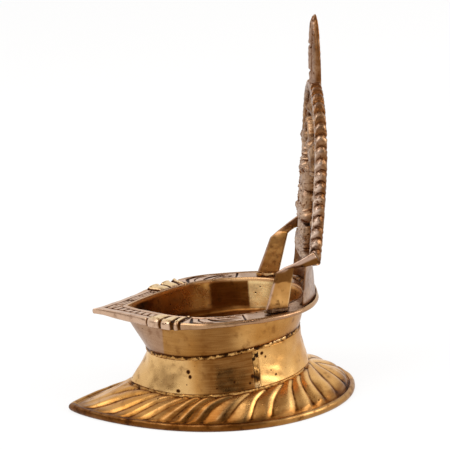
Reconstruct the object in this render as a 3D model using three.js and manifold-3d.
// A brass oil lamp with a leaf-shaped bowl, a fluted foot and a tall back plate.
// Millimetres, +Z up. The spout points along -X and the plate stands at +X.
// The near side, which carries the neck's seam, is at -Y. The foot rests on z = 0.

import * as THREE from 'three';
import { mergeVertices } from 'three/addons/utils/BufferGeometryUtils.js';
import Module from 'manifold-3d';

const wasm = await Module();
wasm.setup();

// Clearance that adjoining pieces keep
const gap = 0.3;

// Outlines of the lamp's levels, seen from above. A leaf runs from its tip to its rear, is
// widest at one place, and has a half width there. A tip of bluntness under 1 is rounded,
// over 1 it is drawn out. The rear quarter is an ellipse at squareness 2, fuller above it.
const footRim = { tip: -59.2, rear: 59.2, widest: 11.7, half: 40.2, bluntness: 0.78, squareness: 2 };
const neckFoot = { tip: -33.6, rear: 40.6, widest: 5.0, half: 29.5, bluntness: 0.7, squareness: 2 };
const neckTop = { tip: -25.2, rear: 38.2, widest: 3.0, half: 26.0, bluntness: 0.5, squareness: 2 };
const bowlMouth = { tip: -31.1, rear: 39.9, widest: 7.0, half: 25.8, bluntness: 0.88, squareness: 2 };
const flangeEdge = { tip: -45.5, rear: 46.4, widest: 3.5, half: 34.3, bluntness: 1.3, squareness: 2.7 };

// The foot
const beadHeight = 3.2;
const beadWidth = 2.6;
const grooveDepth = 0.7;
const footWall = 1.9;
const flutesPerSide = 16;
const fluteHeight = 0.55;
const fluteSlant = 1.2;
const fluteSteps = 6;
// The skirt is hollow in profile at its tip and full at its rear: powers of the way up
const skirtPower = { front: 1.45, rear: 0.55 };

// Points along each half of the neck's, the bowl's and the filler rings' outlines
const outlineSteps = 36;

// The seams slope up a little towards the rear. Each has a height at its tip and its rear.
const footSeam = { front: 10.3, rear: 12.7 };
const bowlSeam = { front: 24.8, rear: 29.0 };
const brazeHeight = 0.9;

// The neck band and its upright seam
const neckWall = 1.8;
const neckFlare = 1.5;
const seamPlace = 18.0;
const seamSlot = 2.0;
const seamWidth = seamSlot - 2 * gap;

// The bowl
const bowlWall = 1.7;
const bowlFloor = 1.4;
const flangeTop = 43.0;
const flangeThickness = 1.9;

// The rear tongue. It follows the flange's edge at its foot, a little inside it, and its top
// is partly flattened towards a plane across the lamp.
const tongueThickness = 1.0;
const tongueInset = 1.5;
const tongueHalf = 22.0;
const tongueTop = 59.4;
const tongueFlatten = 0.46;
const tonguePlane = 43.7;
const tongueBrazeWidth = 2.6;
const tongueBrazeHeight = 1.1;

// The back plate: a slab with a round arch, a beaded border, a ledge, a seat, a figure and a
// finial. The ledge and the seat bow forward: each rises less at its ends than at its middle.
const plateBottom = 61.0;
const plateHalf = 25.0;
const archRadius = 27.5;
const archHeight = 99.5;
const plateRearBottom = 46.4;
const plateLean = 7.3;
const plateTop = 155.0;
const slabThickness = 2.4;
const beadsPerSide = 17;
const beadThickness = 4.8;
const beadRadiusShare = 0.54;
const finialHalf = 4.6;
const finialNeck = 2.8;
const finialFoot = 4.4;
const finialTipHalf = 0.5;
const finialThickness = 2.4;
const finialRidge = 2.2;
const finialRounding = 0.3;
const ledge = { half: 23.5, middleRise: 5.1, endRise: 2.8, height: 2.2 };
const seat = { half: 12.5, middleRise: 4.9, endRise: 4.2, height: 12.0 };

// The relief's rounded masses, each with its place and height above the seat's top, how far it
// rises from the slab, and its two half sizes. The figure's own masses stand on the middle
// line, and the others come once on each side of it.
const middleMasses = [
  { name: 'lap', y: 0, up: 2.6, rise: 6.2, wide: 12.0, high: 3.6 },
  { name: 'body', y: 0, up: 10, rise: 5.4, wide: 5.4, high: 7.6 },
  { name: 'head', y: 0, up: 20.4, rise: 5.2, wide: 3.6, high: 4.4 },
  { name: 'crown', y: 0, up: 26, rise: 4.2, wide: 2.3, high: 4.4 },
];
const sideMasses = [
  { name: 'lower arm', y: 7.4, up: 9, rise: 3.0, wide: 2.2, high: 6.0 },
  { name: 'raised arm', y: 8.6, up: 16.6, rise: 2.8, wide: 1.8, high: 5.0 },
  { name: 'elephant body', y: 13.4, up: 29, rise: 3.4, wide: 5.6, high: 4.6 },
  { name: 'elephant head', y: 8.4, up: 32, rise: 3.6, wide: 3.2, high: 3.6 },
  { name: 'elephant trunk', y: 4.8, up: 35.4, rise: 2.2, wide: 3.4, high: 1.5 },
  { name: 'elephant legs', y: 14.5, up: 23, rise: 2.6, wide: 2.2, high: 3.8 },
];

// The arms: strips with a foot on the flange, a fold, and an end that lies along the side of
// the plate's border
const armThickness = 1.0;
const armFootFront = { x: 23.4, y: 26.2 };
const armFootRear = { x: 32.6, y: 24.6 };
const armFoldFront = { x: 29.4, y: 26.6, z: 59.2 };
const armFoldRear = { x: 36.0, y: 25.0, z: 60.6 };
const armShoulderFront = { x: 38.5, y: 29.0, z: 64.4 };
const armShoulderRear = { x: 40.8, y: 29.2, z: 61.5 };
const armEndTop = { x: 43.5, z: 67.3 };
const armEndBottom = { x: 46.2, z: 62.6 };
const filletHeight = 0.9;
const filletHalf = 1.5;
const filletDepth = 0.8;

function mixLeaf(a, b, share) {
  const mixed = {};
  for (const key of Object.keys(a)) {
    mixed[key] = a[key] + (b[key] - a[key]) * share;
  }
  return mixed;
}

function insetLeaf(leaf, distance) {
  const tipRatio = 1.3;
  return {
    ...leaf,
    tip: leaf.tip + tipRatio * distance,
    rear: leaf.rear - distance,
    half: leaf.half - distance,
  };
}

// Half of a leaf's outline, from the tip to the rear, as points spaced evenly along it
function halfLeaf(leaf, count) {
  const dense = [];
  const frontSteps = 120;
  const rearSteps = 90;
  for (let i = 0; i <= frontSteps; i += 1) {
    const u = i / frontSteps;
    const rise = Math.sin((Math.PI / 2) * u) ** leaf.bluntness;
    dense.push([leaf.tip + (leaf.widest - leaf.tip) * u, leaf.half * rise]);
  }
  for (let i = 1; i <= rearSteps; i += 1) {
    const angle = ((Math.PI / 2) * i) / rearSteps;
    const along = Math.sin(angle) ** (2 / leaf.squareness);
    const across = Math.max(Math.cos(angle), 0) ** (2 / leaf.squareness);
    dense.push([leaf.widest + (leaf.rear - leaf.widest) * along, leaf.half * across]);
  }
  dense[dense.length - 1][1] = 0;
  const lengths = [0];
  for (let i = 1; i < dense.length; i += 1) {
    const step = Math.hypot(dense[i][0] - dense[i - 1][0], dense[i][1] - dense[i - 1][1]);
    lengths.push(lengths[i - 1] + step);
  }
  const total = lengths[lengths.length - 1];
  const even = [];
  let k = 0;
  for (let i = 0; i <= count; i += 1) {
    const wanted = (total * i) / count;
    while (k < lengths.length - 2 && lengths[k + 1] < wanted) {
      k += 1;
    }
    const share = (wanted - lengths[k]) / (lengths[k + 1] - lengths[k]);
    const x = dense[k][0] + (dense[k + 1][0] - dense[k][0]) * share;
    const y = dense[k][1] + (dense[k + 1][1] - dense[k][1]) * share;
    even.push([x, y]);
  }
  return even;
}

// A whole leaf outline as a ring of points: along the near side, then back on the far side.
// The height is a function of x, y and the share of the way from tip to rear.
function leafRing(leaf, count, height) {
  const half = halfLeaf(leaf, count);
  const ring = half.map(([x, y], i) => [x, -y, height(x, -y, i / count)]);
  for (let i = count - 1; i > 0; i -= 1) {
    const [x, y] = half[i];
    ring.push([x, y, height(x, y, i / count)]);
  }
  return ring;
}

function toSolid(geometry) {
  const bare = geometry.index ? geometry.toNonIndexed() : geometry.clone();
  bare.deleteAttribute('normal');
  bare.deleteAttribute('uv');
  const merged = mergeVertices(bare, 1e-4);
  const vertProperties = new Float32Array(merged.attributes.position.array);
  const triVerts = new Uint32Array(merged.index.array);
  return new wasm.Manifold(new wasm.Mesh({ numProp: 3, vertProperties, triVerts }));
}

function toGeometry(solid) {
  const mesh = solid.getMesh();
  const geometry = new THREE.BufferGeometry();
  geometry.setAttribute('position', new THREE.BufferAttribute(mesh.vertProperties.slice(), 3));
  geometry.setIndex(new THREE.BufferAttribute(mesh.triVerts.slice(), 1));
  geometry.computeVertexNormals();
  return geometry;
}

function signedVolume(points, faces) {
  let sum = 0;
  for (const [a, b, c] of faces) {
    const p = new THREE.Vector3(...points[a]);
    const q = new THREE.Vector3(...points[b]);
    const r = new THREE.Vector3(...points[c]);
    sum += p.dot(q.cross(r)) / 6;
  }
  return sum;
}

// Turns points and triangles into a geometry whose faces point out
function closedGeometry(points, faces) {
  const outward = signedVolume(points, faces) > 0;
  const geometry = new THREE.BufferGeometry();
  geometry.setAttribute('position', new THREE.Float32BufferAttribute(points.flat(), 3));
  geometry.setIndex(faces.flatMap(([a, b, c]) => (outward ? [a, b, c] : [a, c, b])));
  geometry.computeVertexNormals();
  return geometry;
}

// Joins rings of equal length one after the other. A tube closes on its first ring, and
// anything else gets a cap of triangles at each end.
function loft(rings, isTube) {
  const size = rings[0].length;
  const points = rings.flat();
  const faces = [];
  const spans = isTube ? rings.length : rings.length - 1;
  for (let i = 0; i < spans; i += 1) {
    const here = i * size;
    const there = ((i + 1) % rings.length) * size;
    for (let j = 0; j < size; j += 1) {
      const next = (j + 1) % size;
      faces.push([here + j, here + next, there + next]);
      faces.push([here + j, there + next, there + j]);
    }
  }
  if (!isTube) {
    for (const end of [0, rings.length - 1]) {
      const ring = rings[end];
      const middle = [0, 1, 2].map((axis) => ring.reduce((sum, p) => sum + p[axis], 0) / size);
      const centre = points.push(middle) - 1;
      for (let j = 0; j < size; j += 1) {
        const a = end * size + j;
        const b = end * size + ((j + 1) % size);
        faces.push(end === 0 ? [centre, b, a] : [centre, a, b]);
      }
    }
  }
  return closedGeometry(points, faces);
}

// A sheet of even thickness on a grid of points
function sheet(grid, thickness) {
  const rows = grid.length;
  const columns = grid[0].length;
  const at = (i, j) => new THREE.Vector3(...grid[i][j]);
  const sides = [1, -1].map((sign) => grid.map((row, i) => row.map((point, j) => {
    const along = at(Math.min(i + 1, rows - 1), j).sub(at(Math.max(i - 1, 0), j));
    const across = at(i, Math.min(j + 1, columns - 1)).sub(at(i, Math.max(j - 1, 0)));
    const normal = along.cross(across).normalize();
    return at(i, j).addScaledVector(normal, (sign * thickness) / 2).toArray();
  })));
  const rings = grid.map((row, i) => [...sides[0][i], ...sides[1][i].slice().reverse()]);
  return loft(rings, false);
}

function seamHeight(seam, leaf, x) {
  const share = (x - leaf.tip) / (leaf.rear - leaf.tip);
  return seam.front + (seam.rear - seam.front) * share;
}

// The height of the foot's upper edge
function footTop(x) {
  return seamHeight(footSeam, neckFoot, x) - brazeHeight / 2 - gap;
}

// The height of the skirt at a share of the way up from a low level to a high one
function skirtHeight(x, low, high, share) {
  const rearness = (x - footRim.tip) / (footRim.rear - footRim.tip);
  const power = skirtPower.front + (skirtPower.rear - skirtPower.front) * rearness;
  return low + (high - low) * share ** power;
}

// The foot: an edge bead, a groove and slanted flutes over a hollow skirt
function footGeometry() {
  const count = flutesPerSide * fluteSteps;
  const grooveLeaf = insetLeaf(footRim, beadWidth);
  const top = insetLeaf(neckFoot, -2 * gap);
  const grooveHeight = beadHeight - grooveDepth;
  const fluteRing = (share) => leafRing(mixLeaf(grooveLeaf, top, share), count, (x, y, v) => {
    const wave = Math.cos(2 * Math.PI * (flutesPerSide * v - fluteSlant * share));
    const rise = fluteHeight * wave * Math.sin(Math.PI * share);
    return skirtHeight(x, grooveHeight, footTop(x), share) + rise;
  });
  const level = (z) => () => z;
  const innerTop = insetLeaf(neckFoot, footWall);
  const innerFoot = insetLeaf(footRim, 2 * beadWidth);
  const lipHeight = 0.3 * beadHeight;
  const under = (share) => leafRing(mixLeaf(innerFoot, innerTop, share), count, (x) => {
    return skirtHeight(x, lipHeight, footTop(x) - footWall - fluteHeight, share);
  });
  return loft([
    leafRing(insetLeaf(footRim, 0.2 * beadWidth), count, level(0)),
    leafRing(footRim, count, level(0.35 * beadHeight)),
    leafRing(insetLeaf(footRim, 0.1 * beadWidth), count, level(0.8 * beadHeight)),
    leafRing(insetLeaf(footRim, 0.45 * beadWidth), count, level(beadHeight)),
    leafRing(insetLeaf(footRim, 0.85 * beadWidth), count, level(0.85 * beadHeight)),
    fluteRing(0),
    fluteRing(0.25),
    fluteRing(0.5),
    fluteRing(0.8),
    fluteRing(1),
    leafRing(innerTop, count, footTop),
    under(0.9),
    under(0.4),
    under(0),
    leafRing(insetLeaf(footRim, 1.9 * beadWidth), count, level(0)),
  ], true);
}

// A thin ring of filler metal in the gap between two pieces
function brazeRing(leaf, seam, depth) {
  const count = outlineSteps;
  const half = brazeHeight / 2;
  const ring = (inset, side) => leafRing(insetLeaf(leaf, inset), count, (x) => {
    return seamHeight(seam, leaf, x) + side * half;
  });
  return loft([ring(0, -1), ring(-0.25, 0), ring(0, 1), ring(depth, 1), ring(depth, -1)], true);
}

function neckSolid() {
  const count = outlineSteps;
  const steps = 5;
  const outer = [];
  const inner = [];
  for (let i = 0; i <= steps; i += 1) {
    const rise = i / steps;
    const leaf = mixLeaf(neckTop, neckFoot, (1 - rise) ** neckFlare);
    const height = (x) => {
      const low = seamHeight(footSeam, neckFoot, x) + brazeHeight / 2 + gap;
      const high = seamHeight(bowlSeam, neckTop, x) - brazeHeight / 2 - gap;
      return low + (high - low) * rise;
    };
    outer.push(leafRing(leaf, count, height));
    inner.unshift(leafRing(insetLeaf(leaf, neckWall), count, height));
  }
  return toSolid(loft([...outer, ...inner], true));
}

// An upright bar through the near side of the neck, as wide along x as is asked
function seamBar(width) {
  const depth = 2 * neckFoot.half;
  const geometry = new THREE.BoxGeometry(width, depth, flangeTop);
  geometry.translate(seamPlace, -depth / 2, flangeTop / 2);
  return toSolid(geometry);
}

function bowlGeometry() {
  const count = outlineSteps;
  const outerMouth = insetLeaf(bowlMouth, -bowlWall);
  const underside = flangeTop - flangeThickness;
  const bottom = (x) => seamHeight(bowlSeam, neckTop, x) + brazeHeight / 2 + gap;
  const inside = insetLeaf(neckTop, bowlWall);
  const wall = (from, to, share, low, high) => leafRing(mixLeaf(from, to, share), count, (x) => {
    return low(x) + (high - low(x)) * share;
  });
  const floor = (x) => bottom(x) + bowlFloor;
  return loft([
    leafRing(neckTop, count, bottom),
    wall(neckTop, outerMouth, 0.5, bottom, underside),
    leafRing(outerMouth, count, () => underside),
    leafRing(insetLeaf(flangeEdge, 0.4), count, () => underside + 0.2),
    leafRing(flangeEdge, count, () => flangeTop - 0.6),
    leafRing(insetLeaf(flangeEdge, 0.5), count, () => flangeTop),
    leafRing(bowlMouth, count, () => flangeTop),
    wall(inside, bowlMouth, 0.5, floor, flangeTop),
    leafRing(inside, count, floor),
  ], false);
}

// Where the rear quarter of a leaf lies at a distance from the middle plane
function rearOf(leaf, y) {
  const share = Math.min(Math.abs(y) / leaf.half, 1);
  const reach = (1 - share ** leaf.squareness) ** (1 / leaf.squareness);
  return leaf.widest + (leaf.rear - leaf.widest) * reach;
}

function plateRear(z) {
  const share = (z - plateBottom) / (plateTop - plateBottom);
  return plateRearBottom + plateLean * (1 - (1 - share) ** 2);
}

// Where the tongue's middle lies at a share of its height and a distance from the middle plane
function tonguePlan(share, y) {
  const around = insetLeaf(flangeEdge, tongueInset + tongueThickness / 2);
  const flat = tongueFlatten * share;
  return (1 - flat) * rearOf(around, y) + flat * tonguePlane;
}

// The tongue: a curved sheet that stands on the flange and reaches up to the plate's ledge
function tongueGeometry() {
  const foot = flangeTop + gap;
  const steps = 4;
  const columns = 22;
  const grid = [];
  for (let j = 0; j <= columns; j += 1) {
    const y = tongueHalf * ((2 * j) / columns - 1);
    const upright = [];
    for (let i = 0; i <= steps; i += 1) {
      const share = i / steps;
      upright.push([tonguePlan(share, y), y, foot + (tongueTop - foot) * share]);
    }
    grid.push(upright);
  }
  return sheet(grid, tongueThickness);
}

// Filler on the flange along the foot of the tongue's inner face
function tongueBrazeGeometry() {
  const face = insetLeaf(flangeEdge, tongueInset + tongueThickness + gap);
  const columns = 20;
  const reach = tongueHalf - tongueBrazeWidth;
  const rings = [];
  for (let j = 0; j <= columns; j += 1) {
    const y = reach * ((2 * j) / columns - 1);
    const x = rearOf(face, y) - gap;
    const low = flangeTop + gap;
    rings.push([
      [x, y, low],
      [x, y, low + tongueBrazeHeight],
      [x - 0.4 * tongueBrazeWidth, y, low + 0.7 * tongueBrazeHeight],
      [x - tongueBrazeWidth, y, low],
    ]);
  }
  return loft(rings, false);
}

// A curved bar of filler along the top of the tongue, below the plate's ledge
function plateBrazeGeometry() {
  const low = tongueTop + gap;
  const high = plateBottom - gap;
  const half = tongueThickness / 2 + gap;
  const columns = 20;
  const reach = tongueHalf - 2 * gap;
  const rings = [];
  for (let j = 0; j <= columns; j += 1) {
    const y = reach * ((2 * j) / columns - 1);
    const x = tonguePlan(1, y);
    rings.push([[x - half, y, low], [x + half, y, low], [x + half, y, high], [x - half, y, high]]);
  }
  return loft(rings, false);
}

// Leans a shape back along the plate's curve. Everything on the plate is first laid out
// upright, with the plate's rear face at x = 0.
function leanBack(geometry) {
  const position = geometry.attributes.position;
  for (let i = 0; i < position.count; i += 1) {
    position.setX(i, position.getX(i) + plateRear(position.getZ(i)));
  }
  return geometry;
}

// Half the plate's width: it widens a little up to the arch and then follows the arch
function halfWidthAt(z) {
  if (z <= archHeight) {
    return plateHalf + ((archRadius - plateHalf) * (z - plateBottom)) / (archHeight - plateBottom);
  }
  return Math.sqrt(Math.max(archRadius ** 2 - (z - archHeight) ** 2, 0));
}

function archSlab() {
  const straightSteps = 6;
  const archSteps = 12;
  const heights = [];
  for (let i = 0; i <= straightSteps; i += 1) {
    heights.push(plateBottom + ((archHeight - plateBottom) * i) / straightSteps);
  }
  for (let i = 1; i <= archSteps; i += 1) {
    heights.push(archHeight + archRadius * Math.sin((0.47 * Math.PI * i) / archSteps));
  }
  const rings = heights.map((z) => {
    const half = halfWidthAt(z);
    return [[0, -half, z], [0, half, z], [-slabThickness, half, z], [-slabThickness, -half, z]];
  });
  return toSolid(leanBack(loft(rings, false)));
}

// The finial: a ridged bud on a short neck, drawn up to a rounded point. Its depth falls as a
// quarter circle over its last part.
function finialSolid() {
  const foot = archHeight + archRadius - 2;
  const steps = 16;
  const rings = [];
  for (let i = 0; i <= steps; i += 1) {
    const share = i / steps;
    const z = foot + (plateTop - foot) * share;
    const neck = finialNeck + (finialFoot - finialNeck) * Math.max(1 - 6 * share, 0);
    const swell = Math.max(Math.sin(Math.PI * share ** 0.8), 0) * (finialHalf - finialNeck);
    const half = Math.max(neck * (1 - share ** 4) + swell, finialTipHalf);
    const toTip = Math.max((share - 1 + finialRounding) / finialRounding, 0);
    const round = Math.max(Math.sqrt(1 - toTip ** 2), 0.25);
    const full = finialThickness + (finialRidge * half) / finialHalf;
    const back = -0.35 * full * (1 - round);
    const side = back - finialThickness * round;
    const ridge = back - full * round;
    rings.push([[back, -half, z], [back, half, z], [side, half, z], [ridge, 0, z], [side, -half, z]]);
  }
  return toSolid(leanBack(loft(rings, false)));
}

// Centres of the border's beads along one side and half the arch
function beadCentres() {
  const side = Math.hypot(archRadius - plateHalf, archHeight - plateBottom);
  const total = side + (Math.PI / 2) * archRadius - finialFoot;
  const pitch = total / beadsPerSide;
  const centres = [];
  for (let i = 0; i < beadsPerSide; i += 1) {
    const way = pitch * (i + 0.5);
    if (way <= side) {
      const z = plateBottom + ((archHeight - plateBottom) * way) / side;
      centres.push([halfWidthAt(z), z]);
    } else {
      const angle = (way - side) / archRadius;
      centres.push([archRadius * Math.cos(angle), archHeight + archRadius * Math.sin(angle)]);
    }
  }
  return { centres, radius: pitch * beadRadiusShare };
}

function beadSolid(y, z, radius) {
  const geometry = new THREE.CylinderGeometry(radius, radius, beadThickness, 10);
  geometry.rotateZ(Math.PI / 2);
  geometry.translate(-beadThickness / 2, y, z);
  return toSolid(leanBack(geometry));
}

// A block across the plate's foot whose front bows forward
function bowedBlock({ half, middleRise, endRise, height }) {
  const back = -slabThickness / 2;
  const rise = (share) => -slabThickness - middleRise + (middleRise - endRise) * share ** 2;
  const rings = [plateBottom, plateBottom + height].map((z) => [
    [back, -half, z], [back, half, z], [rise(1), half, z], [rise(0.5), half / 2, z], [rise(0), 0, z],
    [rise(0.5), -half / 2, z], [rise(1), -half, z],
  ]);
  return toSolid(leanBack(loft(rings, false)));
}

// The relief: each mass is the front half of an ellipsoid on the slab's front face. Its back
// half is pressed flat enough to stay inside the slab.
function reliefSolids() {
  const mirrored = sideMasses.map((mass) => ({ ...mass, y: -mass.y }));
  return [...middleMasses, ...sideMasses, ...mirrored].map(({ y, up, rise, wide, high }) => {
    const geometry = new THREE.SphereGeometry(1, 12, 8);
    const position = geometry.attributes.position;
    for (let i = 0; i < position.count; i += 1) {
      const x = position.getX(i);
      position.setX(i, x > 0 ? (x * slabThickness) / 2 : x * rise);
    }
    geometry.scale(1, wide, high);
    geometry.translate(-slabThickness, y, plateBottom + seat.height + up);
    return toSolid(leanBack(geometry));
  });
}

function plateGeometry() {
  let solid = archSlab().add(finialSolid()).add(bowedBlock(ledge)).add(bowedBlock(seat));
  const { centres, radius } = beadCentres();
  for (const [y, z] of centres) {
    solid = solid.add(beadSolid(y, z, radius));
    solid = solid.add(beadSolid(-y, z, radius));
  }
  for (const mass of reliefSolids()) {
    solid = solid.add(mass);
  }
  const below = new THREE.BoxGeometry(2 * plateHalf, 4 * plateHalf, plateHalf);
  below.translate(plateRearBottom, 0, plateBottom - plateHalf / 2);
  return toGeometry(solid.subtract(toSolid(below)));
}

// How far from the middle plane the border's side face is where the arms' ends lie along it
function borderSide() {
  return halfWidthAt(armEndTop.z) + beadCentres().radius;
}

// One strip arm, side -1 for the near one and 1 for the far one
function armGeometry(side) {
  const foot = flangeTop + filletHeight + 2 * gap;
  const reach = borderSide() + filletDepth + 2 * gap + armThickness / 2;
  const point = ({ x, y = reach, z = foot }) => [x, side * y, z];
  const middle = (a, b, share) => a.map((value, i) => value + (b[i] - value) * share);
  const feet = [point(armFootFront), point(armFootRear)];
  const folds = [point(armFoldFront), point(armFoldRear)];
  const shoulders = [point(armShoulderFront), point(armShoulderRear)];
  const between = (from, to, share) => from.map((corner, i) => middle(corner, to[i], share));
  const grid = [
    feet,
    between(feet, folds, 0.9),
    folds,
    between(folds, shoulders, 0.2),
    shoulders,
    [point(armEndTop), point(armEndBottom)],
  ];
  return sheet(grid, armThickness);
}

function armFootBraze(side) {
  const x = (armFootFront.x + armFootRear.x) / 2;
  const y = (side * (armFootFront.y + armFootRear.y)) / 2;
  const z = flangeTop + gap + filletHeight / 2;
  const turn = Math.atan2(side * (armFootRear.y - armFootFront.y), armFootRear.x - armFootFront.x);
  const geometry = new THREE.BoxGeometry(armFootRear.x - armFootFront.x, 2 * filletHalf, filletHeight);
  geometry.rotateZ(turn);
  geometry.translate(x, y, z);
  return geometry;
}

// The filler between an arm's end and the side of the plate's border
function armTopBraze(side) {
  const rise = armEndTop.z - armEndBottom.z;
  const back = armEndBottom.x - armEndTop.x;
  const geometry = new THREE.BoxGeometry(filletHalf, filletDepth, 0.7 * Math.hypot(rise, back));
  geometry.rotateY(-Math.atan2(back, rise));
  geometry.translate(
    (armEndTop.x + armEndBottom.x) / 2 - filletHalf / 2,
    side * (borderSide() + gap + filletDepth / 2),
    (armEndTop.z + armEndBottom.z) / 2,
  );
  return geometry;
}

const brass = { color: 0xc9913f, roughness: 0.32, metalness: 1 };
const agedBrass = { color: 0x9c7650, roughness: 0.48, metalness: 1 };
const filler = { color: 0x5a4030, roughness: 0.65, metalness: 1 };

function named(name, geometry, finish) {
  const mesh = new THREE.Mesh(geometry, new THREE.MeshStandardMaterial(finish));
  mesh.name = name;
  return mesh;
}

const neck = neckSolid();
const lamp = new THREE.Group();
lamp.name = 'lakshmi_oil_lamp';
lamp.add(
  named('foot_skirt', footGeometry(), brass),
  named('foot_neck_braze', brazeRing(neckFoot, footSeam, neckWall - 0.2), filler),
  named('neck_band', toGeometry(neck.subtract(seamBar(seamSlot))), brass),
  named('neck_seam_braze', toGeometry(neck.intersect(seamBar(seamWidth))), filler),
  named('neck_bowl_braze', brazeRing(neckTop, bowlSeam, neckWall - 0.2), filler),
  named('oil_bowl', bowlGeometry(), brass),
  named('rear_tongue', tongueGeometry(), agedBrass),
  named('tongue_rim_braze', tongueBrazeGeometry(), filler),
  named('plate_tongue_braze', plateBrazeGeometry(), filler),
  named('back_plate', plateGeometry(), agedBrass),
  named('near_arm', armGeometry(-1), agedBrass),
  named('far_arm', armGeometry(1), agedBrass),
  named('near_arm_foot_braze', armFootBraze(-1), filler),
  named('far_arm_foot_braze', armFootBraze(1), filler),
  named('near_arm_top_braze', armTopBraze(-1), filler),
  named('far_arm_top_braze', armTopBraze(1), filler),
);

export default lamp;
